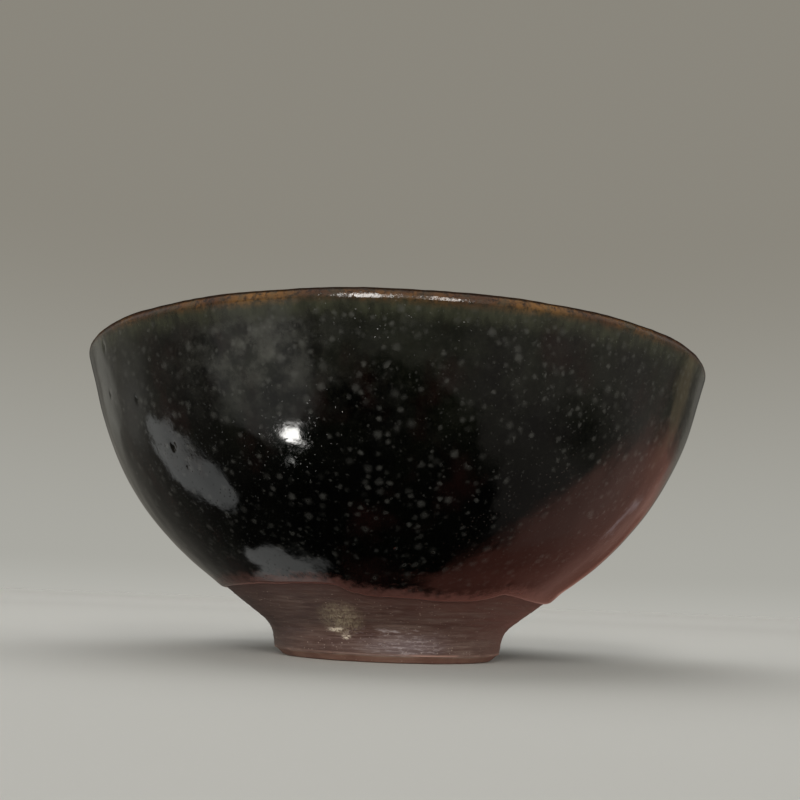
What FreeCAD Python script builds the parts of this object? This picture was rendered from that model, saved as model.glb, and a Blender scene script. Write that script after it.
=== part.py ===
import FreeCAD, Part
import math
import os

from FreeCAD import Vector

# A thrown and trimmed stoneware tea bowl with a dark iron glaze.
# Lengths are millimetres, and a lean is degrees off upright, opening outward.
# The origin is the middle of the face that the foot rests on, with +Z up.

# Finished size, over the glaze
rim_radius = 60.0
bowl_height = 55.6

# Foot, turned out of the same clay as the wall
foot_height = 5.5
foot_top_radius = 22.0
foot_base_radius = 21.3
foot_bevel_width = 1.5
foot_bevel_height = 1.3
foot_ring_width = 4.2
recess_depth = 3.2
recess_wall_lean = 14.0

# Wall: a straight underside runs into a round hip, the inside is one round hollow,
# and both end in a straight run up to the lip
underside_lean = 53.7
outer_straight_run = 8.0
inner_straight_run = 8.5
floor_thickness = 6.0
lip_thickness = 2.5
clay_lip_steps = 3

# Coats fired onto the clay
outer_glaze_thickness = 0.6
inner_glaze_thickness = 0.7
lip_glaze_thickness = 0.4
glaze_lip_steps = 8
glaze_pool_depth = 1.5
glaze_edge_round = 0.35
wash_thickness = 0.2

# Height of the outer glaze's free edge, at even steps anticlockwise from +X.
# The longest dip faces -Y, beside a step up to where the bowl was held when it was dipped.
glaze_line_height = 12.0
glaze_line_shares = [
    0.958, 0.99, 1.03, 1.05, 1.02, 0.97, 0.96, 0.99, 1.04, 1.06, 1.03, 1.01,
    1.02, 1.02, 1.04, 1.07, 1.075, 1.067, 0.942, 0.908, 0.942, 1.025, 0.958, 0.933,
]

# How far the cutter along that edge reaches into the clay, out past the glaze and down
cutter_reach_in = 26.0
cutter_reach_out = 3.0
cutter_depth = 44.0


def along(lean):
    """Unit direction up a face that has this lean."""
    turn = math.radians(lean)
    return Vector(math.sin(turn), 0, math.cos(turn))


def square_to(lean):
    """Unit direction square to such a face, away from the bowl's axis."""
    turn = math.radians(lean)
    return Vector(math.cos(turn), 0, -math.sin(turn))


def lean_between(low, high):
    """Lean of the straight run between two points."""
    return math.degrees(math.atan2(high.x - low.x, high.z - low.z))


def line(start, end):
    return Part.LineSegment(start, end).toShape()


def arc(centre, radius, first_lean, last_lean):
    """Arc round a centre, between the two places where a face of each lean would touch it."""
    leans = [first_lean, (first_lean + last_lean) / 2, last_lean]
    return Part.Arc(*[centre + square_to(lean) * radius for lean in leans]).toShape()


def turned(edges):
    """The solid that a closed outline sweeps round the axis."""
    outline = Part.Wire(Part.sortEdges(edges)[0])
    return Part.Face(outline).revolve(Vector(0, 0, 0), Vector(0, 0, 1), 360)


# Points and centres that the pieces share
foot_corner = Vector(foot_top_radius, 0, foot_height)
bevel_top = Vector(foot_base_radius, 0, foot_bevel_height)
bevel_bottom = Vector(foot_base_radius - foot_bevel_width, 0, 0)
recess_mouth = Vector(bevel_bottom.x - foot_ring_width, 0, 0)
recess_shoulder_radius = recess_mouth.x - recess_depth * math.tan(math.radians(recess_wall_lean))
foot_wall_lean = lean_between(bevel_top, foot_corner)

lip_half = lip_thickness / 2
lip_outer_half = lip_half + lip_glaze_thickness
lip_centre = Vector(rim_radius - lip_outer_half, 0, bowl_height - lip_outer_half)

underside = square_to(underside_lean)
floor_level = recess_depth + floor_thickness


def wall_curve(start, low_lean, lip_reach, straight_run):
    """Centre and radius of the round wall, and its lean at the lip.

    The circle has its centre on the axis and touches a line that leaves the start at the low
    lean. The straight run leaves it for the lip, and passes the lip's centre at the lip reach,
    which is less than zero where the run passes on the side of the axis.
    """
    rise = math.sin(math.radians(low_lean))
    axis_level = start.z - start.x / math.tan(math.radians(low_lean))
    height = lip_centre.z - axis_level
    half = height / rise - lip_reach
    rest = lip_centre.x**2 + height**2 - lip_reach**2 - straight_run**2
    radius = rest / (half + math.sqrt(half**2 - rest * (1 / rise**2 - 1)))
    centre = Vector(0, 0, axis_level + radius / rise)
    gap = lip_centre - centre
    turn = math.atan2(-gap.z, gap.x) + math.atan2(straight_run, radius - lip_reach)
    return centre, radius, math.degrees(turn)


def outside(offset, lip_radius):
    """The outside of the clay or of its coat, from the foot up to the lip, and its lean there."""
    low_end = foot_corner + underside * offset
    centre, radius, lean = wall_curve(low_end, underside_lean, lip_radius, outer_straight_run)
    edges = [
        line(low_end, centre + underside * radius),
        arc(centre, radius, underside_lean, lean),
        line(centre + square_to(lean) * radius, lip_centre + square_to(lean) * lip_radius),
    ]
    return edges, lean


def inside(offset, lip_radius, pool_depth=0):
    """The inside of the clay or of its coat, from the axis up to the lip, and its lean there."""
    level_lean = 90
    bottom = Vector(0, 0, floor_level + offset)
    centre, radius, lean = wall_curve(bottom, level_lean, -lip_radius, inner_straight_run)
    edges = [line(centre + square_to(lean) * radius, lip_centre - square_to(lean) * lip_radius)]
    floor_lean = level_lean
    if pool_depth > offset:
        floor_lean = math.degrees(math.asin(1 - (pool_depth - offset) / radius))
        pool_middle = Vector(0, 0, floor_level + pool_depth)
        edges.append(line(pool_middle, centre + square_to(floor_lean) * radius))
    edges.append(arc(centre, radius, floor_lean, lean))
    return edges, lean


clay_outside, outer_lean = outside(0, lip_half)
clay_inside, inner_lean = inside(0, lip_half)
glazed_outside, glazed_outer_lean = outside(outer_glaze_thickness, lip_outer_half)
glazed_inside, glazed_inner_lean = inside(inner_glaze_thickness, lip_outer_half, glaze_pool_depth)


def over_lip(radius, first_lean, last_lean, steps):
    """Short straight runs over the lip, from the outer wall's end round to the inner wall's."""
    points = []
    for step in range(steps + 1):
        lean = first_lean + (last_lean - first_lean) * step / steps
        points.append(lip_centre + square_to(lean) * radius)
    return Part.makePolygon(points).Edges


def clay_lip():
    """The clay's lip, cut flat on top and eased by a bevel on each side."""
    return over_lip(lip_half, outer_lean, inner_lean - 180, clay_lip_steps)


def outer_lip_end():
    """Where the outer coat meets the lip's coat."""
    clay_point = lip_centre + square_to(outer_lean) * lip_half
    return line(clay_point, lip_centre + square_to(glazed_outer_lean) * lip_outer_half)


def inner_lip_end():
    """Where the inner coat meets the lip's coat."""
    clay_point = lip_centre - square_to(inner_lean) * lip_half
    return line(clay_point, lip_centre - square_to(glazed_inner_lean) * lip_outer_half)


def clay_body():
    """Wall, floor and recessed foot ring, one piece of clay."""
    foot = Part.makePolygon([
        Vector(0, 0, recess_depth),
        Vector(recess_shoulder_radius, 0, recess_depth),
        recess_mouth,
        bevel_bottom,
        bevel_top,
        foot_corner,
    ]).Edges
    axis = line(Vector(0, 0, recess_depth), Vector(0, 0, floor_level))
    return turned(foot + clay_outside + clay_lip() + clay_inside + [axis])


def glaze_line_cutter():
    """Everything under the wavy line where the outer glaze ends, cut square to the underside."""
    rings = []
    for reach in (-cutter_reach_in, cutter_reach_out):
        points = []
        for step, share in enumerate(glaze_line_shares):
            turn = math.radians(360 * step / len(glaze_line_shares))
            run = (glaze_line_height * share - foot_corner.z) / along(underside_lean).z
            spot = foot_corner + along(underside_lean) * run + underside * reach
            points.append(Vector(spot.x * math.cos(turn), spot.x * math.sin(turn), spot.z))
        ring = Part.BSplineCurve()
        ring.interpolate(Points=points, PeriodicFlag=True)
        rings.append(ring.toShape())
    skirt = Part.makeRuledSurface(rings[0], rings[1])
    return skirt.extrude(Vector(0, 0, -cutter_depth))


def glaze_outside(cutter):
    """The outer coat, thinner at the lip and ending above the foot in a wavy rounded edge."""
    foot_end = line(foot_corner, foot_corner + underside * outer_glaze_thickness)
    coat = turned(clay_outside + [outer_lip_end()] + glazed_outside + [foot_end]).cut(cutter)
    free_edge = min(coat.Edges, key=lambda edge: edge.BoundBox.ZMin)
    return coat.makeFillet(glaze_edge_round, [free_edge])


def glaze_inside():
    """The inner coat, thinner at the lip and lying level where it pooled on the floor."""
    axis = line(Vector(0, 0, floor_level), Vector(0, 0, floor_level + glaze_pool_depth))
    return turned(clay_inside + [inner_lip_end()] + glazed_inside + [axis])


def glaze_lip():
    """The thin coat over the lip, rounder than the clay, where the glaze has burnt to a rust brown."""
    air_side = over_lip(lip_outer_half, glazed_outer_lean, glazed_inner_lean - 180, glaze_lip_steps)
    return turned(clay_lip() + [inner_lip_end()] + air_side + [outer_lip_end()])


def foot_wash(cutter):
    """The thin iron wash on the bare underside and down the foot's side to its bevel."""
    high_point = max(clay_outside[0].Vertexes, key=lambda end: end.Z).Point
    half_turn = math.radians((underside_lean - foot_wall_lean) / 2)
    corner_lean = (underside_lean + foot_wall_lean) / 2
    wash_corner = foot_corner + square_to(corner_lean) * (wash_thickness / math.cos(half_turn))
    wash_width = wash_thickness / math.cos(math.radians(foot_wall_lean))
    outline = Part.makePolygon([
        bevel_top,
        foot_corner,
        high_point,
        high_point + underside * wash_thickness,
        wash_corner,
        bevel_top + Vector(wash_width, 0, 0),
        bevel_top,
    ])
    return turned(outline.Edges).common(cutter)


def main():
    os.makedirs("parts", exist_ok=True)
    cutter = glaze_line_cutter()
    pieces = {
        "clay_body": clay_body(),
        "glaze_outside": glaze_outside(cutter),
        "glaze_inside": glaze_inside(),
        "glaze_lip": glaze_lip(),
        "foot_wash": foot_wash(cutter),
    }
    for name, shape in pieces.items():
        shape.exportStep(f"parts/{name}.step")


main()
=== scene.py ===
import math

import bpy
import numpy as np
from mathutils import Matrix, Vector, noise


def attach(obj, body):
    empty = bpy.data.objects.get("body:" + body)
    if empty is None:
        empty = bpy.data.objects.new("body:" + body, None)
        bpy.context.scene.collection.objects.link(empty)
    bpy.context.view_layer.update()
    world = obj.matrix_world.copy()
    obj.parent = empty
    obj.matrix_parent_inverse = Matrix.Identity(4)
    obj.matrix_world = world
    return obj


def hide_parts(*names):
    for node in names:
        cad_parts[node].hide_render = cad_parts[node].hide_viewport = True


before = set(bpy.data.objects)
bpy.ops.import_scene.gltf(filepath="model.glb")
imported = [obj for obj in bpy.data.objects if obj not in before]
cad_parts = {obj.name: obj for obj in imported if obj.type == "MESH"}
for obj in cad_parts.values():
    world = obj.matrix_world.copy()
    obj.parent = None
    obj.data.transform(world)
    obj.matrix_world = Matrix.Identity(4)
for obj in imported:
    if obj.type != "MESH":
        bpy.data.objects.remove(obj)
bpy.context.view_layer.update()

# A tenmoku tea bowl. Lengths are millimetres, which the meshes turn into metres as they are made.
# The floor, the lamp and the camera are given in metres.
MM = 0.001

# The bowl's own sizes
RIM_RADIUS = 60.0
BOWL_HEIGHT = 55.6
FOOT_HEIGHT = 5.5
FOOT_TOP_RADIUS = 22.0
FOOT_BASE_RADIUS = 21.3
BEVEL_WIDTH = 1.5
BEVEL_HEIGHT = 1.3
RING_WIDTH = 4.2
RECESS_DEPTH = 3.2
RECESS_LEAN = 14.0
UNDERSIDE_LEAN = 53.7
OUTER_STRAIGHT = 8.0
INNER_STRAIGHT = 8.5
FLOOR_THICKNESS = 6.0
LIP_THICKNESS = 2.5
OUTER_GLAZE = 0.6
INNER_GLAZE = 0.7
LIP_GLAZE = 0.4
POOL_DEPTH = 1.5
WASH = 0.2

# How softly the level floor runs into the round wall
FLOOR_EASE = 0.35

# Where the outer glaze stops: turns from +X in degrees, and heights
GLAZE_LINE = [
    (-178, 12.1), (-170, 12.2), (-155, 12.37), (-140, 12.7), (-132, 12.88), (-125, 12.84),
    (-119, 13.0), (-112, 13.05), (-105.5, 12.92), (-102, 11.93), (-95.6, 11.25), (-84.2, 11.23),
    (-74, 10.85), (-62.4, 11.07), (-56.4, 11.76), (-52.8, 12.5), (-47.4, 12.24), (-38.4, 11.67),
    (-28, 11.3), (-16.6, 11.17), (-6, 11.35), (5, 11.6), (15, 11.9), (24, 12.2), (33, 12.5),
    (47, 12.6), (58, 12.35), (66, 11.9), (76, 11.55), (90, 11.5), (104, 11.9), (117, 12.4),
    (126, 12.55), (135, 12.75), (146, 12.6), (158, 12.3), (168, 12.1),
]

# How far to each side the line is eased at every point, in degrees
LINE_BLUR = 1.5


# Sections of the bowl, as points (radius, height)

def along(lean):
    """Unit direction up a face with this lean, in degrees off upright."""
    turn = math.radians(lean)
    return np.array([math.sin(turn), math.cos(turn)])


def square_to(lean):
    """Unit direction square to such a face, away from the axis."""
    turn = math.radians(lean)
    return np.array([math.cos(turn), -math.sin(turn)])


FOOT_CORNER = np.array([FOOT_TOP_RADIUS, FOOT_HEIGHT])
BEVEL_TOP = np.array([FOOT_BASE_RADIUS, BEVEL_HEIGHT])
BEVEL_BOTTOM = np.array([FOOT_BASE_RADIUS - BEVEL_WIDTH, 0])
LIP_HALF = LIP_THICKNESS / 2
LIP_OUT = LIP_HALF + LIP_GLAZE
LIP_CENTRE = np.array([RIM_RADIUS - LIP_OUT, BOWL_HEIGHT - LIP_OUT])
UNDERSIDE = square_to(UNDERSIDE_LEAN)
LEVEL_LEAN = 90
FLOOR_LEVEL = RECESS_DEPTH + FLOOR_THICKNESS
POOL_LEVEL = FLOOR_LEVEL + POOL_DEPTH


def wall_curve(start, low_lean, lip_reach, straight_run):
    """Centre and radius of the round wall, and its lean at the lip, as the solids have them."""
    rise = math.sin(math.radians(low_lean))
    axis_level = start[1] - start[0] / math.tan(math.radians(low_lean))
    height = LIP_CENTRE[1] - axis_level
    half = height / rise - lip_reach
    rest = LIP_CENTRE[0] ** 2 + height ** 2 - lip_reach ** 2 - straight_run ** 2
    radius = rest / (half + math.sqrt(half ** 2 - rest * (1 / rise ** 2 - 1)))
    centre = np.array([0, axis_level + radius / rise])
    gap = LIP_CENTRE - centre
    turn = math.atan2(-gap[1], gap[0]) + math.atan2(straight_run, radius - lip_reach)
    return centre, radius, math.degrees(turn)


class Section:
    """A line of points with its square-to directions, read by the distance along it."""

    def __init__(self, points, normals):
        self.points = np.array(points)
        self.normals = np.array(normals)
        steps = np.hypot(*np.diff(self.points, axis=0).T)
        self.way = np.concatenate([[0], np.cumsum(steps)])
        self.length = self.way[-1]

    def at(self, way):
        """The points and directions at these distances along the line."""
        point = np.stack([np.interp(way, self.way, self.points[:, k]) for k in (0, 1)], -1)
        normal = np.stack([np.interp(way, self.way, self.normals[:, k]) for k in (0, 1)], -1)
        return point, normal / np.linalg.norm(normal, axis=-1, keepdims=True)


def outside(offset, lip_radius):
    """The outside from the foot up to the lip, and its lean at the lip."""
    start = FOOT_CORNER + UNDERSIDE * offset
    centre, radius, lean = wall_curve(start, UNDERSIDE_LEAN, lip_radius, OUTER_STRAIGHT)
    points, normals = [start], [UNDERSIDE]
    for step in np.linspace(UNDERSIDE_LEAN, lean, 60):
        points.append(centre + square_to(step) * radius)
        normals.append(square_to(step))
    points.append(LIP_CENTRE + square_to(lean) * lip_radius)
    normals.append(square_to(lean))
    return Section(points, normals), lean


def inside(offset, lip_radius, level):
    """The inside from the axis up to the lip, its floor eased into its wall, and its last lean."""
    start = (0, FLOOR_LEVEL + offset)
    centre, radius, lean = wall_curve(start, LEVEL_LEAN, -lip_radius, INNER_STRAIGHT)
    points = []
    for step in np.linspace(LEVEL_LEAN, lean, 160):
        points.append(centre + square_to(step) * radius)
    points.append(LIP_CENTRE - square_to(lean) * lip_radius)
    points = np.array(points)
    points[:, 1] = level + FLOOR_EASE * np.logaddexp(0, (points[:, 1] - level) / FLOOR_EASE)
    slopes = np.gradient(points, axis=0)
    slopes /= np.linalg.norm(slopes, axis=1, keepdims=True)
    normals = np.stack([-slopes[:, 1], slopes[:, 0]], -1)
    return Section(points, normals), lean


CLAY_OUT, CLAY_OUT_LEAN = outside(0, LIP_HALF)
CLAY_IN, CLAY_IN_LEAN = inside(0, LIP_HALF, FLOOR_LEVEL)
GLAZE_OUT, GLAZE_OUT_LEAN = outside(OUTER_GLAZE, LIP_OUT)
GLAZE_IN, GLAZE_IN_LEAN = inside(INNER_GLAZE, LIP_OUT, POOL_LEVEL)


def smooth(low, high, value):
    """Nothing below the low value, one above the high one, and an even curve between."""
    share = np.clip((value - low) / (high - low), 0, 1)
    return share * share * (3 - 2 * share)


def glaze_line(turns):
    """Height of the outer glaze's free edge at each turn, in degrees."""
    angles, heights = np.array(GLAZE_LINE, float).T
    angles = np.concatenate([angles - 360, angles, angles + 360])
    heights = np.tile(heights, 3)
    blur = np.arange(-LINE_BLUR, LINE_BLUR + 0.01, 0.25)
    turned = (np.asarray(turns)[:, None] + blur + 180) % 360 - 180
    weights = np.cos(blur * math.pi / 4)
    return (np.interp(turned, angles, heights) * weights).sum(1) / weights.sum()


# Meshes turned on the axis

# Faces that meet at more than this angle, in degrees, keep a sharp edge
CREASE = 38

# The distance from a free edge that a point has where its mesh has no such edge near
FAR_FROM_EDGE = 99.0


def turns_round(count):
    """Even turns round the axis, in degrees."""
    return np.linspace(-180, 180, count + 1)[:-1]


def ruffle(points, pitch, seed):
    """Smooth noise about zero at each point, with hills about a pitch across."""
    shift = Vector((seed * 7.31, seed * 3.17, seed * 5.71))
    flat = points.reshape(-1, 3) / pitch
    heights = [noise.noise(Vector(point) + shift) for point in flat.tolist()]
    return np.array(heights).reshape(points.shape[:-1])


def uneven(points, *layers):
    """Several ruffles added up, each given as its height, pitch and seed."""
    return sum(height * ruffle(points, pitch, seed) for height, pitch, seed in layers)


def swing(section_points, turns):
    """Section points (rows, turns, 2) placed round the axis as (rows, turns, 3)."""
    angle = np.radians(turns)
    radius, height = section_points[..., 0], section_points[..., 1]
    return np.stack([radius * np.cos(angle), radius * np.sin(angle), height], -1)


def placed(name, data):
    """An object in the scene with this mesh, lamp or camera."""
    thing = bpy.data.objects.new(name, data)
    bpy.context.scene.collection.objects.link(thing)
    return thing


def turned_mesh(name, rows, loop=False, first_pole=None, last_pole=None, edge_way=None):
    """A mesh over a grid of points (rows, turns, 3), closed round the axis and at any poles.

    Its points may carry their distance from a free edge, in millimetres, for the material.
    """
    count, turns = rows.shape[:2]
    grid = np.arange(count * turns).reshape(count, turns)
    points = [rows.reshape(-1, 3)]
    ends = np.concatenate([grid, grid[:1]]) if loop else grid
    right = np.roll(ends, -1, axis=1)
    quads = np.stack([ends[:-1], right[:-1], right[1:], ends[1:]], -1).reshape(-1, 4)
    faces = [tuple(quad) for quad in quads.tolist()]
    for pole, row, order in ((first_pole, grid[0], 1), (last_pole, grid[-1], -1)):
        if pole is not None:
            tip = sum(len(part) for part in points)
            points.append(np.array([[0, 0, pole]]))
            fan = np.stack([np.full(turns, tip), np.roll(row, -1), row], -1)[:, ::order]
            faces += [tuple(face) for face in fan.tolist()]
    spots = np.concatenate(points) * MM
    mesh = bpy.data.meshes.new(name)
    mesh.from_pydata(spots.tolist(), [], faces)
    mesh.update()
    corners = spots[quads]
    volume = (corners[:, 0] * np.cross(corners[:, 1], corners[:, 2])).sum()
    if volume < 0:
        mesh.flip_normals()
    mesh.shade_smooth()
    mesh.set_sharp_from_angle(angle=math.radians(CREASE))
    if edge_way is not None:
        far = np.full(len(spots), FAR_FROM_EDGE)
        far[:edge_way.size] = edge_way.reshape(-1)
        mesh.attributes.new("edge_way", "FLOAT", "POINT").data.foreach_set("value", far)
    return placed(name, mesh)


# Burst bubbles in the outer glaze: place, radius and depth
PITS = [
    ((-50.7, -30.8, 51.6), 0.45, 0.25), ((-49.8, -27.6, 43.9), 0.4, 0.2),
    ((-42.6, -36.5, 41.5), 0.5, 0.25), ((-35.6, -38.5, 33.8), 0.5, 0.28),
    ((-33.1, -38.2, 30.7), 0.4, 0.22), ((-2.9, -31.5, 12.4), 0.4, 0.3),
    ((2.8, -31.8, 12.5), 0.45, 0.32), ((19.8, -28.2, 14.4), 0.45, 0.3),
    ((-20.4, -47.1, 36.0), 0.35, 0.18), ((21.0, 45.0, 33.0), 0.45, 0.24),
    ((-12.0, 40.0, 24.0), 0.4, 0.22), ((48.0, 12.0, 36.0), 0.4, 0.22),
]

# The air side of a coat, kept for the grains that sit in it
SKINS = {}


# The outer coat's free edge, by distance from it: the round nose, the rows set close together,
# and the place, half width and height of the thicker roll
NOSE = 1.2
CLOSE_ROWS = 4
ROLL_PLACE = 1.3
ROLL_WIDTH = 1.7
ROLL_HEIGHT = 0.10

# Distances from the free edge over which the outer coat's unevenness grows to its full height,
# and distances from the lip over which the outer and the inner coat lose it again
WAVES_START = 0.2
WAVES_FULL = 5
CALM_START = 6
CALM_END = 0.5

# How far the beads in the outer coat keep from its free edge and from the lip
BEADS_START = 1.5
BEADS_END = 9


def build_outer_glaze():
    """The outer coat: a rolled free edge, a slightly uneven skin, and a thin end at the lip."""
    turns = turns_round(880)
    climb = (glaze_line(turns) - FOOT_HEIGHT) / along(UNDERSIDE_LEAN)[1]
    rest = GLAZE_OUT.length - CLOSE_ROWS
    way = np.concatenate([
        NOSE * (1 - np.cos(np.linspace(0, math.pi / 2, 9))),
        np.linspace(NOSE, CLOSE_ROWS, 15)[1:],
        CLOSE_ROWS + rest * np.linspace(0, 1, 80)[1:],
    ])
    share = ((way - CLOSE_ROWS) / rest)[:, None]
    upper = CLOSE_ROWS + climb + (rest - climb) * np.clip(share, 0, 1)
    reach = np.where(share > 0, upper, way[:, None] + climb)
    centre, normal = GLAZE_OUT.at(reach)
    skin = swing(centre, turns)
    edge = way[:, None] + 0 * turns
    roll = ROLL_HEIGHT + uneven(swing(centre[:1], turns), (0.12, 9, 3))[0]
    bead = roll * np.exp(-((edge - ROLL_PLACE) / ROLL_WIDTH) ** 2)
    nose_shape = np.sqrt(1 - (1 - np.minimum(edge / NOSE, 1)) ** 2)
    thick = (OUTER_GLAZE + bead) * nose_shape
    calm = smooth(GLAZE_OUT.length - CALM_START, GLAZE_OUT.length - CALM_END, reach)
    waves = uneven(skin, (0.26, 26, 1), (0.085, 9.5, 2), (0.048, 3.6, 4), (0.006, 1.4, 5))
    growth = smooth(WAVES_START, WAVES_FULL, edge)
    lift = thick - OUTER_GLAZE + growth * (1 - calm) * waves
    pits = np.zeros(edge.shape)
    for spot, size, depth in PITS:
        pits += depth * np.exp(-((skin - np.array(spot)) ** 2).sum(-1) / size ** 2)
    front = centre + normal * (lift - pits)[..., None]
    beaded = (way > BEADS_START) & (way < GLAZE_OUT.length - BEADS_END)
    SKINS["glaze"] = swing(front[beaded], turns)
    back_way = np.linspace(1, 0, 9)[:, None]
    back, _ = CLAY_OUT.at(climb + (CLAY_OUT.length - climb) * back_way)
    grid = swing(np.concatenate([front, back[:-1]]), turns)
    return turned_mesh("glaze_outside_coat", grid, loop=True, edge_way=edge)


# How far the top of the lip's coat lies under its full round: in the middle, least and most
LIP_DIP = 0.18
LIP_DIP_LEAST = 0.1
LIP_DIP_MOST = 0.32


def round_lip(leans, radius, turns):
    """Points (leans, turns, 2) on the lip's round, and the directions square to it."""
    unit = np.array([square_to(lean) for lean in leans])[:, None, :]
    unit = np.broadcast_to(unit, (len(leans), len(turns), 2))
    return LIP_CENTRE + unit * radius, unit


def build_lip_glaze():
    """The lip's coat, a little uneven along the top."""
    turns = turns_round(1000)
    leans = np.linspace(GLAZE_OUT_LEAN, GLAZE_IN_LEAN - 180, 33)
    front, unit = round_lip(leans, LIP_OUT, turns)
    spots = swing(front, turns)
    dip = LIP_DIP + uneven(spots, (0.16, 14, 6), (0.07, 4.5, 7), (0.04, 1.6, 8))
    dip = np.clip(dip, LIP_DIP_LEAST, LIP_DIP_MOST)
    fade = np.sin(np.linspace(0, math.pi, len(leans)))[:, None]
    front = front - unit * (fade * dip)[..., None]
    back, _ = round_lip(np.linspace(CLAY_IN_LEAN - 180, CLAY_OUT_LEAN, 9), LIP_HALF, turns)
    return turned_mesh("glaze_lip_coat", swing(np.concatenate([front, back]), turns), loop=True)


# Throwing rings up the inside, and the distances from the middle over which they begin
RING_PITCH = 6.5
RING_HEIGHT = 0.012
WALL_START = 16
WALL_END = 24


def build_inner_glaze():
    """The inner coat, with its pool on the floor and soft throwing rings up its wall."""
    turns = turns_round(640)
    way = GLAZE_IN.length * np.linspace(0, 1, 128)[1:, None] + 0 * turns
    centre, normal = GLAZE_IN.at(way)
    skin = swing(centre, turns)
    fade = 1 - smooth(GLAZE_IN.length - CALM_START, GLAZE_IN.length - CALM_END, way)
    wall = smooth(WALL_START, WALL_END, way)
    rings = RING_HEIGHT * np.sin(2 * math.pi * (way / RING_PITCH + turns / 360)) * wall
    waves = wall * uneven(skin, (0.2, 26, 11), (0.035, 9, 12)) + uneven(skin, (0.008, 3.2, 13))
    front = centre + normal * (fade * (rings + waves))[..., None]
    back, _ = CLAY_IN.at(CLAY_IN.length * np.linspace(1, 0, 14)[:-1, None] + 0 * turns)
    grid = swing(np.concatenate([front, back]), turns)
    middle = GLAZE_IN.points[0, 1]
    return turned_mesh("glaze_inside_coat", grid, first_pole=middle, last_pole=FLOOR_LEVEL)


# How far the wash runs on under the glaze, and how far from its corner the fillet over it starts
WASH_OVERLAP = 0.5
FILLET = 2.2

# How much less a tool mark changes along the turning direction than across it
DRAWN_OUT = np.array([0.06, 0.06, 1.0])


def build_foot_wash():
    """The washed foot wall and underside, scored by the trimming tool."""
    turns = turns_round(660)
    foot_lean = math.degrees(math.atan2(*(FOOT_CORNER - BEVEL_TOP)))
    low = BEVEL_TOP + np.array([WASH / math.cos(math.radians(foot_lean)), 0])
    half = math.radians((UNDERSIDE_LEAN - foot_lean) / 2)
    corner = FOOT_CORNER + square_to((UNDERSIDE_LEAN + foot_lean) / 2) * (WASH / math.cos(half))
    wall = np.hypot(*(corner - low))
    climb = (glaze_line(turns) - FOOT_HEIGHT) / along(UNDERSIDE_LEAN)[1] + WASH_OVERLAP
    way = np.concatenate([
        np.linspace(0, 1, 46)[:, None] * wall + 0 * climb,
        np.linspace(0, 1, 96)[1:, None] * climb + wall,
    ])
    up_foot = (corner - low) / wall
    up_slope = along(UNDERSIDE_LEAN)
    bend = np.clip((way - wall + FILLET) / (2 * FILLET), 0, 1)[..., None]
    front = corner + np.minimum(way - wall, -FILLET)[..., None] * up_foot
    front = front + np.maximum(way - wall - FILLET, 0)[..., None] * up_slope
    front = front + (2 * bend - bend ** 2) * FILLET * up_foot + bend ** 2 * FILLET * up_slope
    spots = swing(front, turns)
    turn = np.radians(foot_lean + (UNDERSIDE_LEAN - foot_lean) * bend)
    normal = np.concatenate([np.cos(turn), -np.sin(turn)], -1)
    score = uneven(spots * DRAWN_OUT, (0.05, 0.55, 21), (0.035, 0.22, 22))
    score = score + uneven(spots, (0.05, 5, 23))
    front = front + normal * (smooth(0, 0.4, way) * score)[..., None]
    SKINS["wash"] = swing(front[3:-12], turns)
    back = np.stack([
        np.broadcast_to(point, (len(turns), 2))
        for point in (CLAY_OUT.at(climb)[0], FOOT_CORNER, BEVEL_TOP)
    ])
    grid = swing(np.concatenate([front, back]), turns)
    return turned_mesh("foot_wash_skin", grid, loop=True, edge_way=wall + climb - way)


def eased(points, size):
    """The same outline with each inner corner rounded off."""
    out = [points[0]]
    for before, here, after in zip(points, points[1:], points[2:]):
        start = here + (before - here) / np.hypot(*(before - here)) * size
        end = here + (after - here) / np.hypot(*(after - here)) * size
        for share in np.linspace(0, 1, 6):
            middle = 2 * share * (1 - share) * here
            out.append((1 - share) ** 2 * start + middle + share ** 2 * end)
    out.append(points[-1])
    return np.array(out)


def resampled(points, pitch):
    """The same outline with its points about a pitch apart."""
    way = np.concatenate([[0], np.cumsum(np.hypot(*np.diff(points, axis=0).T))])
    even = np.linspace(0, way[-1], int(way[-1] / pitch) + 2)
    return np.stack([np.interp(even, way, points[:, k]) for k in (0, 1)], -1)


# The foot's underside: the distance between its points, the roundness of its corners, the pitch
# and height of the turning marks in its recess, the knob that the tool leaves in the middle, and
# how far its outer edge is worn back beyond a radius
FOOT_PITCH = 0.2
MIDDLE_RADIUS = 0.4
CORNER_EASE = 0.35
MARK_PITCH = 1.9
MARK_HEIGHT = 0.06
KNOB_RADIUS = 2.2
KNOB_HEIGHT = 0.25
RECESS_MIDDLE = RECESS_DEPTH + 0.15
WORN_DEPTH = 0.09
WORN_RADIUS = 19


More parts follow.
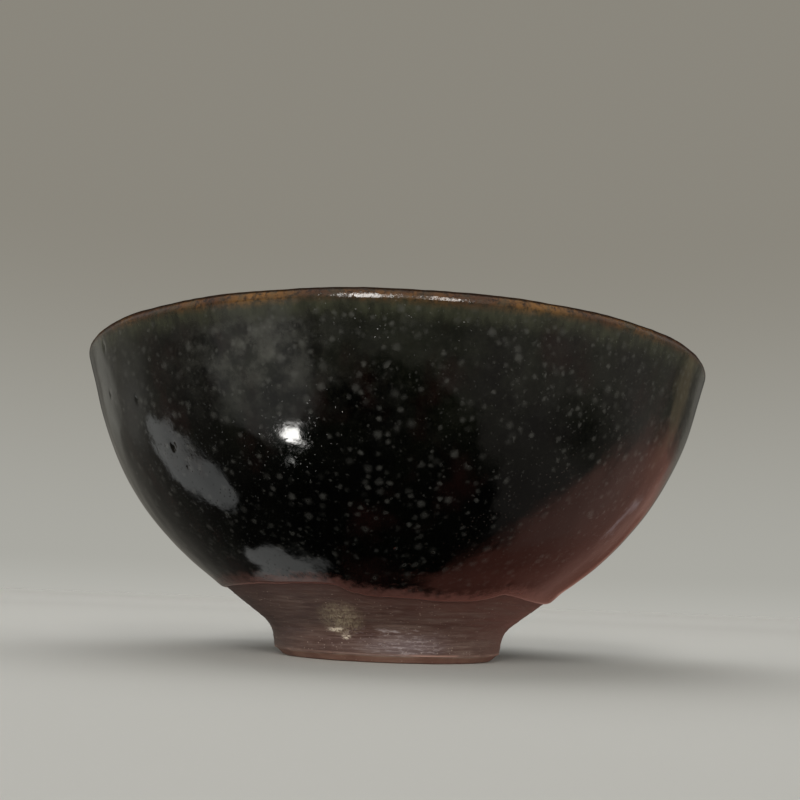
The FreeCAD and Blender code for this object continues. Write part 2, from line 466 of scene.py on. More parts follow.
def build_clay():
    """The clay: a recessed foot with worn edges, and the wall that the coats cover."""
    turns = turns_round(540)
    mouth = FOOT_BASE_RADIUS - BEVEL_WIDTH - RING_WIDTH
    shoulder = mouth - RECESS_DEPTH * math.tan(math.radians(RECESS_LEAN))
    foot = resampled(eased(np.array([
        [MIDDLE_RADIUS, RECESS_DEPTH], [shoulder, RECESS_DEPTH], [mouth, 0],
        BEVEL_BOTTOM, BEVEL_TOP,
    ]), CORNER_EASE), FOOT_PITCH)
    rows = np.broadcast_to(foot[:, None, :], (len(foot), len(turns), 2))
    spots = swing(rows, turns)
    radius = np.hypot(spots[..., 0], spots[..., 1])
    level = smooth(0.05, 0.6, rows[..., 1])
    inner = 1 - smooth(shoulder - 1.5, shoulder, radius)
    marks = MARK_HEIGHT * np.sin(2 * math.pi * (radius / MARK_PITCH + turns / 360))
    knob = KNOB_HEIGHT * np.exp(-(rows[..., 0] / KNOB_RADIUS) ** 2)
    lift = inner * (marks + knob - 0.1) * level
    for height, pitch, seed in ((0.03, 1.2, 31), (0.08, 3.5, 32)):
        lift = lift + height * np.clip(ruffle(spots, pitch, seed), 0, 1)
    worn = WORN_DEPTH * np.clip(ruffle(spots, 2.4, 33) + 0.1, 0, 1)
    worn = worn * smooth(WORN_RADIUS, WORN_RADIUS + 1, rows[..., 0])
    front = rows + np.stack([-worn, lift], -1)
    hidden = np.concatenate([
        [FOOT_CORNER], CLAY_OUT.at(np.linspace(0, CLAY_OUT.length, 16)[1:])[0],
        [LIP_CENTRE + np.array([0, LIP_HALF])],
        CLAY_IN.at(np.linspace(CLAY_IN.length, 0, 20)[:-1])[0],
    ])
    hidden = np.broadcast_to(hidden[:, None, :], (len(hidden), len(turns), 2))
    grid = swing(np.concatenate([front, hidden]), turns)
    poles = {"first_pole": RECESS_MIDDLE, "last_pole": FLOOR_LEVEL}
    return turned_mesh("clay_wall_and_foot", grid, **poles)


# Shader nodes

class Wiring:
    """Adds nodes to one tree and joins them up."""

    def __init__(self, tree):
        self.tree = tree

    def add(self, kind, inputs=None, **settings):
        """A new node with these inputs, each a value or another node's socket."""
        node = self.tree.nodes.new(kind)
        for name, value in settings.items():
            setattr(node, name, value)
        for name, value in (inputs or {}).items():
            self.put(node.inputs[name], value)
        return node

    def put(self, socket, value):
        """Joins another node's socket to this one, or gives it a value."""
        if isinstance(value, bpy.types.NodeSocket):
            self.tree.links.new(value, socket)
        else:
            socket.default_value = value

    def math(self, operation, *values, clamp=False):
        node = self.add("ShaderNodeMath", operation=operation, use_clamp=clamp)
        for socket, value in zip(node.inputs, values):
            self.put(socket, value)
        return node.outputs[0]

    def times(self, first, *others):
        for other in others:
            first = self.math("MULTIPLY", first, other)
        return first

    def plus(self, first, second):
        return self.math("ADD", first, second)

    def noise(self, vector, scale, detail=2.0, roughness=0.5, distortion=0.0):
        return self.add("ShaderNodeTexNoise", {
            "Vector": vector, "Scale": scale, "Detail": detail,
            "Roughness": roughness, "Distortion": distortion,
        }).outputs["Fac"]

    def drift(self, vector, scale, detail):
        """Three unlike noises in one vector, to push a place about."""
        node = self.add("ShaderNodeTexNoise", {"Vector": vector, "Scale": scale, "Detail": detail})
        return node.outputs["Color"]

    def cells(self, vector, scale):
        """Distance to the nearest scattered point, and that point's own random colour."""
        node = self.add("ShaderNodeTexVoronoi", {"Vector": vector, "Scale": scale})
        return node.outputs["Distance"], node.outputs["Color"]

    def span(self, value, low, high, to_low=0.0, to_high=1.0, smoothly=True):
        """The value's share of the way from low to high, carried over to the second range."""
        return self.add("ShaderNodeMapRange", {
            "Value": value, "From Min": low, "From Max": high, "To Min": to_low, "To Max": to_high,
        }, interpolation_type="SMOOTHSTEP" if smoothly else "LINEAR").outputs["Result"]

    def blend(self, factor, first, second, kind="MIX"):
        """The second colour over the first, by the factor."""
        node = self.add("ShaderNodeMix", data_type="RGBA", blend_type=kind)
        self.put(node.inputs["Factor"], factor)
        for socket, value in zip([s for s in node.inputs if s.type == "RGBA"], (first, second)):
            self.put(socket, value)
        return next(s for s in node.outputs if s.type == "RGBA")

    def shifted(self, vector, shift):
        return self.add("ShaderNodeVectorMath", {0: vector, 1: shift}, operation="ADD").outputs[0]

    def scaled(self, vector, scale):
        return self.add("ShaderNodeVectorMath", {0: vector, 3: scale}, operation="SCALE").outputs[0]

    def length(self, vector):
        return self.add("ShaderNodeVectorMath", {0: vector}, operation="LENGTH").outputs["Value"]

    def stretched(self, vector, scales, shift=(0.0, 0.0, 0.0)):
        """The vector with each axis scaled and then shifted."""
        node = self.add("ShaderNodeMapping", {"Vector": vector, "Scale": scales, "Location": shift})
        return node.outputs[0]

    def parts(self, vector):
        return self.add("ShaderNodeSeparateXYZ", {"Vector": vector}).outputs

    def bands(self, tint):
        """A colour's red, green and blue."""
        return self.add("ShaderNodeSeparateColor", {"Color": tint}).outputs

    def near(self, vector, spot, size):
        """One at a spot, falling to nothing at the size given for each axis."""
        shift = tuple(-s / r for s, r in zip(spot, size))
        scaled = self.stretched(vector, tuple(1 / r for r in size), shift)
        return self.span(self.length(scaled), 1.0, 0.0)


def colour(red, green, blue):
    return (red, green, blue, 1.0)


def new_group(name, inputs, outputs):
    """An effect with named sockets: its tree, the wiring in it, what it is given, what it gives."""
    tree = bpy.data.node_groups.new(name, "ShaderNodeTree")
    for label, kind, value in inputs:
        socket = tree.interface.new_socket(name=label, in_out="INPUT", socket_type=kind)
        if value is not None:
            socket.default_value = value
    for label, kind in outputs:
        tree.interface.new_socket(name=label, in_out="OUTPUT", socket_type=kind)
    wiring = Wiring(tree)
    given = wiring.add("NodeGroupInput").outputs
    result = wiring.add("NodeGroupOutput").inputs
    return tree, wiring, given, result


FLOAT, COLOUR, VECTOR = "NodeSocketFloat", "NodeSocketColor", "NodeSocketVector"

# Glaze colours
BLACK_GLAZE = colour(0.0005, 0.0005, 0.0004)
OLIVE_GLAZE = colour(0.006, 0.007, 0.004)
MAROON_GLAZE = colour(0.008, 0.0028, 0.0024)
SPOT_GREY = colour(0.098, 0.098, 0.09)
FUZZY_OLIVE = colour(0.036, 0.038, 0.023)
AMBER_LIP = colour(0.16, 0.074, 0.017)
RUSSET_LIP = colour(0.056, 0.023, 0.010)
DARK_LIP = colour(0.011, 0.006, 0.0034)
EDGE_MAROON = colour(0.102, 0.045, 0.037)
MILKY_AND_SHEEN_GREY = colour(0.058, 0.058, 0.05)
GRAINY_GLAZE = colour(0.022, 0.022, 0.016)
PINHOLE = colour(0.002, 0.002, 0.002)

# Pale spots, largest first: cells per millimetre, spot size, share of cells kept, strength, and a
# shift that keeps the layers apart
SPOT_LAYERS = (
    (0.46, 0.40, 0.42, 0.42, 0.0), (0.66, 0.38, 0.44, 0.48, 31.0), (1.05, 0.3, 0.22, 0.36, 57.0),
)

# Patches on the outside, by their middle and their reach along each axis
# The first patch is a painted sheen: it brightens the milky mist on the front left, where light
# falls on it
PAINTED_SHEEN_PATCH = ((-21.0, -49.0, 46.0), (17.0, 22.0, 14.0))
AMBER_PATCHES = (
    ((-21.0, -56.0, 54.5), (8.0, 9.0, 8.0)), ((21.0, -56.0, 54.5), (9.0, 9.0, 8.0)),
)


def glaze_spots():
    """Small pale crystals of several sizes in the glaze, and pinholes through it."""
    tree, w, given, result = new_group(
        "glaze spots",
        [("Vector", VECTOR, None), ("Amount", FLOAT, 1.0)],
        [("Spots", FLOAT), ("Pinholes", FLOAT), ("Crystals", FLOAT)],
    )
    place = w.shifted(given["Vector"], w.scaled(w.drift(given["Vector"], 1.1, 2.0), 0.7))
    across, _, height = w.parts(place)
    crowd = w.plus(w.noise(place, 0.07, 2.0), w.span(across, 12.0, 45.0, 0.0, 0.12))
    total = None
    for scale, size, keep, strength, shift in SPOT_LAYERS:
        far, tint = w.cells(w.shifted(place, (shift, shift, shift)), scale)
        luck, brightness, _ = w.bands(tint)
        kept = w.span(crowd, 0.3, 0.7, keep * 0.5, keep * 1.5, smoothly=False)
        chosen = w.math("LESS_THAN", luck, kept)
        bright = w.span(brightness, 0.0, 1.0, 0.25, 1.0, smoothly=False)
        blob = w.times(w.span(far, size * 1.12, size * 0.1), chosen, bright, strength)
        total = blob if total is None else w.math("MAXIMUM", total, blob)
    total = w.times(total, w.span(height, 12.0, 28.0, 0.55, 1.0))
    w.put(result["Spots"], w.math("MULTIPLY", total, given["Amount"], clamp=True))
    far, tint = w.cells(place, 0.16)
    chosen = w.math("LESS_THAN", w.bands(tint)[0], 0.5)
    w.put(result["Pinholes"], w.times(w.span(far, 0.05, 0.025), chosen))
    far, tint = w.cells(place, 1.9)
    chosen = w.math("LESS_THAN", w.bands(tint)[1], 0.3)
    w.put(result["Crystals"], w.times(w.span(far, 0.3, 0.1), chosen))
    return tree


def glaze_depth():
    """The colour of thick iron glaze: black, pooled with olive and maroon, misted, with a painted
    sheen in one patch.
    """
    tree, w, given, result = new_group(
        "glaze depth",
        [("Vector", VECTOR, None), ("Maroon", FLOAT, 0.5)],
        [("Color", COLOUR), ("Roughness", FLOAT), ("Height", FLOAT)],
    )
    place = given["Vector"]
    cloud = w.noise(place, 0.055, 3.0, 0.55, 0.6)
    high = w.span(w.parts(place)[2], 26.0, 50.0, 0.05, 1.0)
    base = w.blend(w.times(w.span(cloud, 0.35, 0.68), high), BLACK_GLAZE, OLIVE_GLAZE)
    blush = w.noise(w.stretched(place, (1.0, 1.0, 0.5), (9.0, 4.0, 2.0)), 0.09, 3.0, 0.6)
    base = w.blend(w.times(w.span(blush, 0.52, 0.7), given["Maroon"]), base, MAROON_GLAZE)
    # Milky mist all over, brightened in one patch by a painted sheen
    milky_and_sheen = w.plus(w.near(place, *PAINTED_SHEEN_PATCH), 0.1)
    mist_and_sheen = w.times(w.span(w.noise(place, 0.3, 4.0, 0.62), 0.36, 0.72), high, milky_and_sheen)
    base = w.blend(w.times(mist_and_sheen, 0.9), base, MILKY_AND_SHEEN_GREY)
    grain = w.span(w.noise(place, 1.4, 3.0, 0.6), 0.45, 0.8, 0.0, 0.3)
    w.put(result["Color"], w.blend(w.times(grain, high), base, GRAINY_GLAZE))
    w.put(result["Roughness"], w.span(w.noise(place, 0.3, 4.0, 0.65), 0.3, 0.75, 0.045, 0.12))
    w.put(result["Height"], w.noise(place, 0.9, 3.0, 0.5))
    return tree


def lip_burn():
    """How far the glaze has thinned to rust towards the lip, by height, with a ragged edge."""
    tree, w, given, result = new_group(
        "lip burn",
        [("Vector", VECTOR, None)],
        [("Thin", FLOAT), ("Haze", FLOAT), ("Crest", FLOAT), ("Amber", FLOAT)],
    )
    place = given["Vector"]
    height = w.parts(place)[2]
    ragged = w.noise(w.stretched(place, (1.0, 1.0, 0.35)), 0.55, 4.0, 0.65)
    slow = w.noise(place, 0.05, 2.0)
    lower = w.plus(w.times(ragged, 1.7), w.times(slow, 1.6))
    level = w.plus(height, w.math("SUBTRACT", lower, 1.65))
    w.put(result["Thin"], w.span(level, 52.3, 54.3))
    patchy = w.span(ragged, 0.3, 0.7, 0.35, 1.0)
    w.put(result["Haze"], w.times(w.span(level, 49.5, 53.2), patchy))
    w.put(result["Crest"], w.span(w.plus(height, w.times(ragged, 0.3)), 54.7, 55.0))
    amber = w.times(w.span(w.noise(place, 0.085, 3.0, 0.6, 0.4), 0.42, 0.6), 0.45)
    for spot, size in AMBER_PATCHES:
        amber = w.math("MAXIMUM", amber, w.math("POWER", w.near(place, spot, size), 0.6))
    w.put(result["Amber"], amber)
    return tree


GROUPS = {"spots": glaze_spots(), "depth": glaze_depth(), "burn": lip_burn()}


def use_group(w, key, **inputs):
    """One of the shared effects, placed in a material with its own values."""
    node = w.add("ShaderNodeGroup", node_tree=GROUPS[key])
    for name, value in inputs.items():
        w.put(node.inputs[name], value)
    return node.outputs


def new_material(name):
    """A material with its wiring, its shader and the place on the object in millimetres."""
    material = bpy.data.materials.new(name)
    material.use_nodes = True
    material.node_tree.nodes.clear()
    w = Wiring(material.node_tree)
    shader = w.add("ShaderNodeBsdfPrincipled")
    w.add("ShaderNodeOutputMaterial", {"Surface": shader.outputs[0]})
    place = w.add("ShaderNodeTexCoord").outputs["Object"]
    return material, w, shader, w.scaled(place, 1 / MM)


def bump(w, shader, height, distance):
    node = w.add("ShaderNodeBump", {"Height": height, "Distance": distance * MM})
    w.put(shader.inputs["Normal"], node.outputs[0])


def edge_distance(w, place, scale, ragged):
    """Distance from a coat's free edge in millimetres, made ragged."""
    edge = w.add("ShaderNodeAttribute", attribute_name="edge_way").outputs["Fac"]
    return w.plus(edge, w.span(w.noise(place, scale, 3.0), 0.25, 0.75, -ragged, ragged))


def glaze_material(name, spot_amount, maroon, has_edge=False):
    """Glossy iron glaze with pale spots, rusty where it thins at the lip and at its free edge."""
    material, w, shader, place = new_material(name)
    depth = use_group(w, "depth", Vector=place, Maroon=maroon)
    burn = use_group(w, "burn", Vector=place)
    spots = use_group(w, "spots", Vector=place, Amount=spot_amount)
    tone = w.blend(burn["Haze"], depth["Color"], FUZZY_OLIVE)
    rust = w.blend(burn["Amber"], RUSSET_LIP, AMBER_LIP)
    rust = w.blend(w.span(w.noise(place, 1.1, 4.0, 0.7), 0.42, 0.66, 0.0, 0.85), rust, DARK_LIP)
    rust = w.blend(w.span(w.noise(place, 0.35, 3.0, 0.6), 0.45, 0.7, 0.0, 0.5), rust, FUZZY_OLIVE)
    shown = w.times(spots["Spots"], w.span(burn["Thin"], 0.0, 1.0, 0.85, 0.0))
    tone = w.blend(shown, tone, SPOT_GREY)
    fine = w.span(w.parts(place)[0], -5.0, 35.0, 0.08, 0.34)
    tone = w.blend(w.times(spots["Crystals"], fine), tone, SPOT_GREY)
    tone = w.blend(burn["Thin"], tone, rust)
    tone = w.blend(w.times(burn["Crest"], 0.8), tone, DARK_LIP)
    tone = w.blend(spots["Pinholes"], tone, PINHOLE)
    rough = w.plus(depth["Roughness"], w.times(spots["Spots"], 0.10))
    rough = w.plus(rough, w.times(burn["Thin"], 0.08))
    if has_edge:
        thin = w.span(edge_distance(w, place, 0.8, 0.8), 4.2, 1.0)
        tone = w.blend(thin, tone, EDGE_MAROON)
        rough = w.plus(rough, w.times(thin, 0.14))
    w.put(shader.inputs["Base Color"], tone)
    w.put(shader.inputs["Roughness"], rough)
    sanded = w.noise(w.stretched(place, (0.6, 0.6, 1.3)), 1.5, 2.0, 0.6)
    relief = w.times(depth["Height"], 0.013)
    relief = w.plus(relief, w.times(sanded, burn["Thin"], 0.07))
    relief = w.plus(relief, w.times(spots["Spots"], 0.012))
    relief = w.plus(relief, w.times(spots["Crystals"], 0.012))
    relief = w.math("SUBTRACT", relief, w.times(spots["Pinholes"], 0.12))
    bump(w, shader, relief, 1.0)
    shader.inputs["IOR"].default_value = 1.52
    return material


# Colours of the wash
WASH_DEEP = colour(0.068, 0.033, 0.026)
WASH_WARM = colour(0.096, 0.053, 0.041)
WASH_PALE_STREAK = colour(0.17, 0.118, 0.097)
WASH_DARK_STREAK = colour(0.055, 0.03, 0.024)
LILAC_SHEEN = colour(0.15, 0.118, 0.126)
FLECK_GREY = colour(0.33, 0.28, 0.28)
RUBBED_STRAW = colour(0.4, 0.34, 0.22)
CHIP_CREAM = colour(0.8, 0.7, 0.56)
WASH_GRIT = colour(0.3, 0.24, 0.2)
BEVEL_EDGE_HIGHLIGHT = colour(0.32, 0.19, 0.15)
WASH_UNDER_GLAZE = colour(0.085, 0.038, 0.03)

# Colours of the bare clay
CLAY_DEEP = colour(0.15, 0.07, 0.048)
CLAY_WARM = colour(0.23, 0.125, 0.09)
CLAY_STREAK = colour(0.27, 0.18, 0.14)
CLAY_EDGE_HIGHLIGHT = colour(0.34, 0.27, 0.22)
CLAY_GRIT = colour(0.4, 0.33, 0.26)

# Marks on the wash, and a painted sheen on it, by their middle and their reach along each axis
LILAC_SHEEN_PATCH = ((4.0, -22.0, 3.0), (11.0, 7.0, 3.2))
FLECK_ROW = ((1.0, -22.0, 5.3), (13.0, 7.0, 1.1))
RUBBED_PATCH = ((-8.0, -23.0, 7.9), (4.6, 6.0, 4.2))
CHIPS = (((-8.7, -20.8, 5.4), (2.6, 4.0, 0.6)), ((-7.1, -21.0, 4.3), (1.1, 4.0, 0.8)))

# The wash is painted paler, as the highlight on the bevel's top edge, below the first height, and
# not at all above the second
HIGHLIGHT_BELOW = 1.45
HIGHLIGHT_UP_TO = 1.75


def fired_clay():
    """Trimming streaks, grit and stains of bare stoneware."""
    tree, w, given, result = new_group(
        "fired clay",
        [("Vector", VECTOR, None), ("Streaks", FLOAT, 1.0)],
        [("Streak", FLOAT), ("Stain", FLOAT), ("Grit", FLOAT), ("Height", FLOAT)],
    )
    place = given["Vector"]
    streak = w.noise(w.stretched(place, (0.07, 0.07, 1.0)), 2.2, 4.0, 0.65)
    w.put(result["Streak"], streak)
    w.put(result["Stain"], w.noise(place, 0.16, 4.0, 0.6, 0.5))
    far, tint = w.cells(place, 1.5)
    chosen = w.math("LESS_THAN", w.bands(tint)[0], 0.22)
    grit = w.times(w.span(far, 0.22, 0.12), chosen)
    w.put(result["Grit"], grit)
    grain = w.noise(place, 5.0, 3.0, 0.6)
    height = w.plus(w.times(streak, given["Streaks"], 0.6), w.times(grain, 0.25))
    w.put(result["Height"], w.plus(height, w.times(grit, 0.3)))
    return tree


GROUPS["clay"] = fired_clay()


def wash_material():
    """Iron-brown wash, dull and streaked, rubbed bare in one place, with painted sheen and edge
    highlight.
    """
    material, w, shader, place = new_material("iron_wash")
    clay = use_group(w, "clay", Vector=place, Streaks=1.0)
    tone = w.blend(w.span(clay["Stain"], 0.35, 0.7), WASH_DEEP, WASH_WARM)
    tone = w.blend(w.span(clay["Streak"], 0.42, 0.72, 0.0, 0.6), tone, WASH_PALE_STREAK)
    tone = w.blend(w.span(clay["Streak"], 0.5, 0.25, 0.0, 0.55), tone, WASH_DARK_STREAK)
    # A painted lilac sheen on the front of the foot wall; the grey flecks show most inside it
    painted_sheen = w.near(place, *LILAC_SHEEN_PATCH)
    tone = w.blend(w.times(painted_sheen, 0.5), tone, LILAC_SHEEN)
    flecks = w.noise(w.stretched(place, (0.4, 0.4, 1.8)), 1.7, 4.0, 0.75)
    marked = w.plus(w.math("MAXIMUM", painted_sheen, w.near(place, *FLECK_ROW)), 0.12)
    tone = w.blend(w.times(w.span(flecks, 0.5, 0.66), marked, 0.75), tone, FLECK_GREY)
    strokes = w.noise(w.stretched(place, (1.1, 0.5, 0.8), (3.0, 1.0, 0.0)), 1.2, 5.0, 0.75, 1.2)
    rubbed = w.math("POWER", w.near(place, *RUBBED_PATCH), 0.5)
    tone = w.blend(w.times(rubbed, w.span(strokes, 0.36, 0.66), 0.8), tone, RUBBED_STRAW)
    chips = w.span(w.noise(w.stretched(place, (0.7, 0.7, 1.4)), 2.2, 3.0, 0.7), 0.42, 0.56)
    for spot, size in CHIPS:
        tone = w.blend(w.times(w.near(place, spot, size), chips), tone, CHIP_CREAM)
    tone = w.blend(w.times(clay["Grit"], 0.6), tone, WASH_GRIT)
    # A painted highlight along the foot wall's lower edge, in patches
    low = w.span(w.parts(place)[2], HIGHLIGHT_UP_TO, HIGHLIGHT_BELOW)
    patchy = w.span(w.noise(place, 0.12, 3.0), 0.45, 0.6, 0.2, 1.0)
    tone = w.blend(w.times(low, patchy, 0.85), tone, BEVEL_EDGE_HIGHLIGHT)
    under = w.span(edge_distance(w, place, 0.5, 1.0), 4.0, 0.6, 0.0, 0.75)
    w.put(shader.inputs["Base Color"], w.blend(under, tone, WASH_UNDER_GLAZE))
    w.put(shader.inputs["Roughness"], w.span(clay["Streak"], 0.3, 0.7, 0.38, 0.56))
    bump(w, shader, clay["Height"], 0.05)
    return material


def clay_material():
    """Bare clay, warm brown and rough, with a painted highlight along the top edge of its bevel."""
    material, w, shader, place = new_material("bare_clay")
    clay = use_group(w, "clay", Vector=place, Streaks=0.6)
    tone = w.blend(w.span(clay["Stain"], 0.35, 0.7), CLAY_DEEP, CLAY_WARM)
    tone = w.blend(w.span(clay["Streak"], 0.45, 0.75, 0.0, 0.5), tone, CLAY_STREAK)
    # A painted highlight along the top of the bevel, in patches
    edge = w.span(w.parts(place)[2], 0.95, 1.25)
    patchy = w.span(clay["Stain"], 0.4, 0.6, 0.3, 1.0)
    tone = w.blend(w.times(edge, patchy, 0.6), tone, CLAY_EDGE_HIGHLIGHT)
    tone = w.blend(w.times(clay["Grit"], 0.6), tone, CLAY_GRIT)
    w.put(shader.inputs["Base Color"], tone)
    w.put(shader.inputs["Roughness"], w.span(clay["Stain"], 0.3, 0.7, 0.6, 0.8))
    bump(w, shader, clay["Height"], 0.08)
    return material


def grain_material(name, first, second, rough):
    """Small hard grains, each patch of them a little different."""
    material, w, shader, place = new_material(name)
    tint = w.span(w.noise(place, 1.3, 2.0), 0.35, 0.65)
    w.put(shader.inputs["Base Color"], w.blend(tint, first, second))
    dull = w.span(w.noise(place, 3.0, 2.0), 0.3, 0.7, rough, rough + 0.15)
    w.put(shader.inputs["Roughness"], dull)
    bump(w, shader, w.noise(place, 9.0, 3.0), 0.03)
    return material


# Grains that sit in a coat

def grain_tree(name, material, flatness):
    """Scatters small flattened grains over a surface, each set square to it."""
    tree = bpy.data.node_groups.new(name, "GeometryNodeTree")
    sockets = {}
    for label, kind, value in (
        ("Geometry", "NodeSocketGeometry", None), ("Grains per Square Metre", FLOAT, 1000.0),
        ("Smallest Radius", FLOAT, 0.1 * MM), ("Largest Radius", FLOAT, 0.2 * MM),
        ("Seed", "NodeSocketInt", 0),
    ):
        socket = tree.interface.new_socket(name=label, in_out="INPUT", socket_type=kind)
        if value is not None:
            socket.default_value = value
        sockets[label] = socket.identifier
    tree.interface.new_socket(name="Geometry", in_out="OUTPUT", socket_type="NodeSocketGeometry")
    w = Wiring(tree)
    given = w.add("NodeGroupInput").outputs
    spread = w.add("GeometryNodeDistributePointsOnFaces", {
        "Mesh": given["Geometry"], "Density": given["Grains per Square Metre"],
        "Seed": given["Seed"],
    })
    pick = w.add("FunctionNodeRandomValue", data_type="FLOAT")
    least, most, *_ = [s for s in pick.inputs if s.type == "VALUE"]
    w.put(least, given["Smallest Radius"])
    w.put(most, given["Largest Radius"])
    w.put(pick.inputs["Seed"], given["Seed"])
    radius = next(s for s in pick.outputs if s.type == "VALUE")
    height = w.times(radius, flatness)
    scale = w.add("ShaderNodeCombineXYZ", {"X": radius, "Y": radius, "Z": height})
    grain = w.add("GeometryNodeMeshIcoSphere", {"Radius": 1.0, "Subdivisions": 1})
    grains = w.add("GeometryNodeInstanceOnPoints", {
        "Points": spread.outputs["Points"], "Instance": grain.outputs["Mesh"],
        "Rotation": spread.outputs["Rotation"], "Scale": scale.outputs[0],
    })
    solid = w.add("GeometryNodeRealizeInstances", {"Geometry": grains.outputs[0]})
    dressed = w.add("GeometryNodeSetMaterial", {"Geometry": solid.outputs[0], "Material": material})
    w.put(w.add("NodeGroupOutput").inputs[0], dressed.outputs[0])
    return tree, sockets


def build_grains(name, rows, material, flatness, amount, radii, seed):
    """Grains over a coat's air side, baked to one plain mesh."""
    bed = turned_mesh(name + "_bed", rows)
    tree, sockets = grain_tree(name, material, flatness)
    scatter = bed.modifiers.new("scatter", "NODES")
    scatter.node_group = tree
    values = {
        "Grains per Square Metre": amount, "Smallest Radius": radii[0] * MM,
        "Largest Radius": radii[1] * MM, "Seed": seed,
    }
    for label, value in values.items():
        scatter[sockets[label]] = value
    ready = bed.evaluated_get(bpy.context.evaluated_depsgraph_get())
    mesh = bpy.data.meshes.new_from_object(ready)
    bed.modifiers.clear()
    bpy.data.objects.remove(bed)
    mesh.name = name
    mesh.shade_smooth()
    return placed(name, mesh)


# The pieces

OUTER = glaze_material("dark_glaze_outside", 1.0, 0.6, has_edge=True)
INNER = glaze_material("dark_glaze_inside", 0.8, 0.3)
LIP = glaze_material("rust_lip_glaze", 0.4, 0.3)

PIECES = [
    (build_outer_glaze, OUTER, "glaze_outside", "dark_glaze"),
    (build_lip_glaze, LIP, "glaze_lip", "lip_glaze"),
    (build_inner_glaze, INNER, "glaze_inside", "dark_glaze"),
    (build_foot_wash, wash_material(), "foot_wash", "iron_wash"),
    (build_clay, clay_material(), "clay_body", "clay"),
]
for build, material, node, slot in PIECES:
    piece = build()
    piece.data.materials.append(material)
    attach(piece, "root")
    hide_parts(node)


GRIT = grain_material("clay_grit", colour(0.15, 0.1, 0.08), colour(0.3, 0.24, 0.2), 0.6)
BEADS = grain_material("glaze_beads", colour(0.008, 0.008, 0.007), colour(0.03, 0.03, 0.026), 0.16)

# Grains: the piece and the skin it sits in, material, flatness, number per square metre, radii,
# seed, and the node and slot they belong to
GRAINS = [
    ("clay_grit", "wash", GRIT, 0.45, 3.0e5, (0.05, 0.14), 5, "foot_wash", "clay"),
    ("glaze_beads", "glaze", BEADS, 0.22, 0.1e5, (0.06, 0.15), 8, "glaze_outside", "dark_glaze"),
]
for name, skin, material, flatness, amount, radii, seed, node, slot in GRAINS:
    piece = build_grains(name, SKINS[skin], material, flatness, amount, radii, seed)
    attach(piece, "root")
    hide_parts(node)


# Floor, lamp, world and camera

# The floor's half width, and the gap that keeps it from touching the foot
FLOOR_HALF = 4.0
FLOOR_GAP = 0.00004

# How far out the floor starts to turn paler, in millimetres. It does so because less of the lamp's
# light reaches it there, and it has to meet the wall in one tone.
FLOOR_NEAR = 500.0


def build_floor():
    """A plain floor that meets the wall behind it in one tone."""
    sides = ((-1, -1), (1, -1), (1, 1), (-1, 1))
    corners = [(x * FLOOR_HALF, y * FLOOR_HALF, -FLOOR_GAP) for x, y in sides]
    mesh = bpy.data.meshes.new("floor")
    mesh.from_pydata(corners, [], [(0, 1, 2, 3)])
    floor = placed("floor", mesh)
    material, w, shader, place = new_material("floor")
    tint = w.span(w.noise(place, 0.02, 3.0), 0.3, 0.7, 0.0, 0.12)
    near = w.blend(tint, colour(0.64, 0.64, 0.61), colour(0.68, 0.68, 0.65))
    close = w.span(w.math("DIVIDE", FLOOR_NEAR, w.length(place)), 0.0, 1.0)
    w.put(shader.inputs["Base Color"], w.blend(close, colour(0.96, 0.966, 0.932), near))
    shader.inputs["Roughness"].default_value = 0.9
    shader.inputs["Specular IOR Level"].default_value = 0.1
    floor.data.materials.append(material)
    floor.visible_glossy = False


# The lamp: its place, side and power in watts
LAMP_PLACE = (-0.1, 0.15, 0.9)
LAMP_SIDE = 0.9
LAMP_POWER = 3.1


def build_lamp():
    """One wide soft panel above, aimed at the foot, that the glaze doesn't mirror."""
    panel = bpy.data.lights.new("top_panel", "AREA")
    panel.shape = "SQUARE"
    panel.size = LAMP_SIDE
    panel.energy = LAMP_POWER
    lamp = placed("top_panel", panel)
    lamp.location = LAMP_PLACE
    lamp.rotation_euler = (-lamp.location).to_track_quat("-Z", "Y").to_euler()
    lamp.visible_camera = False
    lamp.visible_glossy = False


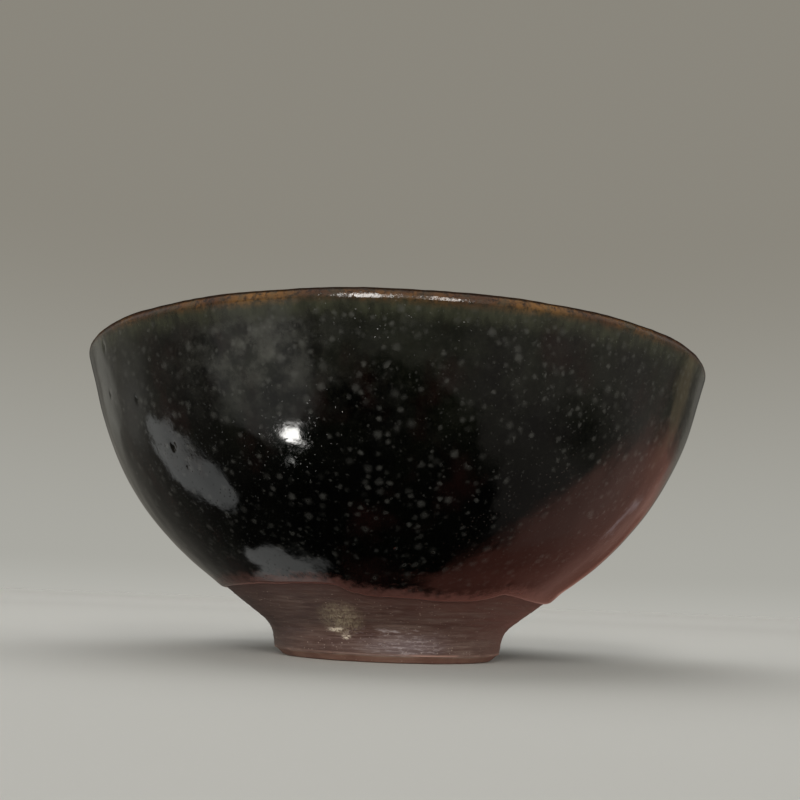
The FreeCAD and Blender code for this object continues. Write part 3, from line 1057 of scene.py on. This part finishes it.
# What the glaze mirrors besides the plain room, each thing over the ones before it. Each is added
# to what it lies over, or covers it. Then come its direction as azimuth and height, its half width
# and half height, and its tilt, all in degrees, the softness of its edge, and its colour.
SIGHTS = [
    ("ADD", (-15, -32), (55.0, 36.0), 0, 0.3, (0.12, 0.11, 0.10)),
    ("MIX", (-6, -26), (26.0, 14.0), 0, 1.0, (0.03, 0.029, 0.027)),
    ("MIX", (40, 0), (20.0, 22.0), 0, 0.6, (0.10, 0.095, 0.08)),
    ("MIX", (-93, -66), (35.7, 49.0), 0, 0.14, (0.004, 0.004, 0.004)),
    ("MIX", (90, 45), (62.0, 46.0), 0, 0.25, (0.02, 0.02, 0.018)),
    ("ADD", (164, -31), (9.0, 18.5), 16, 0.2, (0.70, 0.72, 0.71)),
    ("ADD", (134, -55), (7.5, 15.5), 0, 0.35, (0.64, 0.65, 0.63)),
    ("ADD", (-143, -24), (21.0, 23.0), 0, 0.35, (0.33, 0.33, 0.31)),
    ("ADD", (133, 2), (14.0, 8.0), 0, 0.8, (0.17, 0.17, 0.155)),
    ("ADD", (154, -9), (17.0, 12.0), 0, 0.9, (0.14, 0.14, 0.13)),
    ("ADD", (60, -36), (47.0, 39.0), 0, 0.2, (0.31, 0.107, 0.078)),
    ("MIX", (67, -11), (13.0, 17.0), 0, 0.8, (0.22, 0.094, 0.07)),
    ("ADD", (37.5, 3), (7.5, 19.0), 0, 0.9, (0.175, 0.137, 0.075)),
    ("ADD", (47, -18), (2.6, 5.0), 20, 0.6, (0.30, 0.29, 0.32)),
    ("ADD", (-141, -42.8), (4.0, 3.6), 0, 0.4, (26.0, 25.5, 24.5)),
    ("ADD", (-149, -50.0), (0.7, 0.7), 0, 0.6, (10.0, 10.0, 9.5)),
    ("ADD", (-101, 16), (6.5, 25.0), 0, 0.3, (16.5, 16.1, 15.5)),
    ("ADD", (-75, 16), (4.0, 22.0), 0, 0.3, (14.0, 13.6, 13.0)),
]


def sight_mask(w, direction, aim, size, tilt, soft):
    """One inside a soft oval of directions."""
    turn = w.add("ShaderNodeMapping", {
        "Vector": direction,
        "Rotation": (math.radians(tilt), math.radians(-aim[1]), math.radians(aim[0])),
        "Scale": (1.0, math.sin(math.radians(size[0])), math.sin(math.radians(size[1]))),
    }, vector_type="TEXTURE").outputs[0]
    ahead, side, rise = w.parts(turn)
    far = w.length(w.add("ShaderNodeCombineXYZ", {"Y": side, "Z": rise}).outputs[0])
    return w.times(w.span(far, 1.0, 1.0 - soft), w.math("GREATER_THAN", ahead, 0.0))


# The plain room that the glaze mirrors and that lights the bowl, from below up
ROOM_LOW = colour(0.012, 0.011, 0.010)
ROOM_MIDDLE = colour(0.19, 0.18, 0.155)
ROOM_HIGH = colour(0.42, 0.41, 0.39)

# The plain wall that only the camera sees, from the floor up
WALL_FOOT = colour(0.45, 0.445, 0.41)
WALL_LOW = colour(0.40, 0.395, 0.36)
WALL_HIGH = colour(0.255, 0.24, 0.204)

# How much the mirrored outlines waver
RIPPLE = 0.13


def build_world():
    """A room pale above and dim below with its sights in it, and a plain wall for the camera."""
    world = bpy.data.worlds.new("studio")
    world.use_nodes = True
    world.node_tree.nodes.clear()
    w = Wiring(world.node_tree)
    direction = w.add("ShaderNodeTexCoord").outputs["Generated"]
    rise = w.parts(direction)[2]
    ripple = w.shifted(w.drift(direction, 9.0, 3.0), (-0.5, -0.5, -0.5))
    wavy = w.shifted(direction, w.scaled(ripple, RIPPLE))
    above = w.blend(w.span(rise, 0.04, 0.5), ROOM_MIDDLE, ROOM_HIGH)
    room = w.blend(w.span(rise, -0.75, 0.0, smoothly=False), ROOM_LOW, above)
    for kind, aim, size, tilt, soft, shade in SIGHTS:
        room = w.blend(sight_mask(w, wavy, aim, size, tilt, soft), room, colour(*shade), kind)
    wall = w.blend(w.span(rise, 0.0, 0.36), WALL_LOW, WALL_HIGH)
    wall = w.blend(w.span(rise, -0.01, 0.035), WALL_FOOT, wall)
    lit_room = w.add("ShaderNodeBackground", {"Color": room, "Strength": 1.0})
    seen = w.add("ShaderNodeBackground", {"Color": wall, "Strength": 1.0})
    path = w.add("ShaderNodeLightPath")
    mixed = w.add("ShaderNodeMixShader", {
        0: path.outputs["Is Camera Ray"], 1: lit_room.outputs[0], 2: seen.outputs[0],
    })
    w.add("ShaderNodeOutputWorld", {"Surface": mixed.outputs[0]})
    bpy.context.scene.world = world


# The camera's place, and in radians how far it looks up, leans to its side and looks aside
CAMERA_PLACE = Vector((0.00006, -0.19861, 0.01072))
PITCH = 0.19763
ROLL = 0.03819
YAW = 0.00335


def build_camera():
    """A camera low before the bowl, looking up at it a little."""
    data = bpy.data.cameras.new("camera")
    data.sensor_width = 36.0
    data.lens = 45.0
    data.clip_start = 0.005
    camera = placed("camera", data)
    forward = Vector((
        math.sin(YAW) * math.cos(PITCH), math.cos(YAW) * math.cos(PITCH), math.sin(PITCH),
    ))
    right = forward.cross(Vector((0, 0, 1))).normalized()
    up = right.cross(forward)
    rolled_right = math.cos(ROLL) * right + math.sin(ROLL) * up
    rolled_up = -math.sin(ROLL) * right + math.cos(ROLL) * up
    turn = Matrix((rolled_right, rolled_up, -forward)).transposed()
    camera.matrix_world = Matrix.Translation(CAMERA_PLACE) @ turn.to_4x4()
    bpy.context.scene.camera = camera


build_floor()
build_world()
build_lamp()
build_camera()
bpy.context.scene.view_settings.view_transform = "Standard"

bpy.context.view_layer.update()
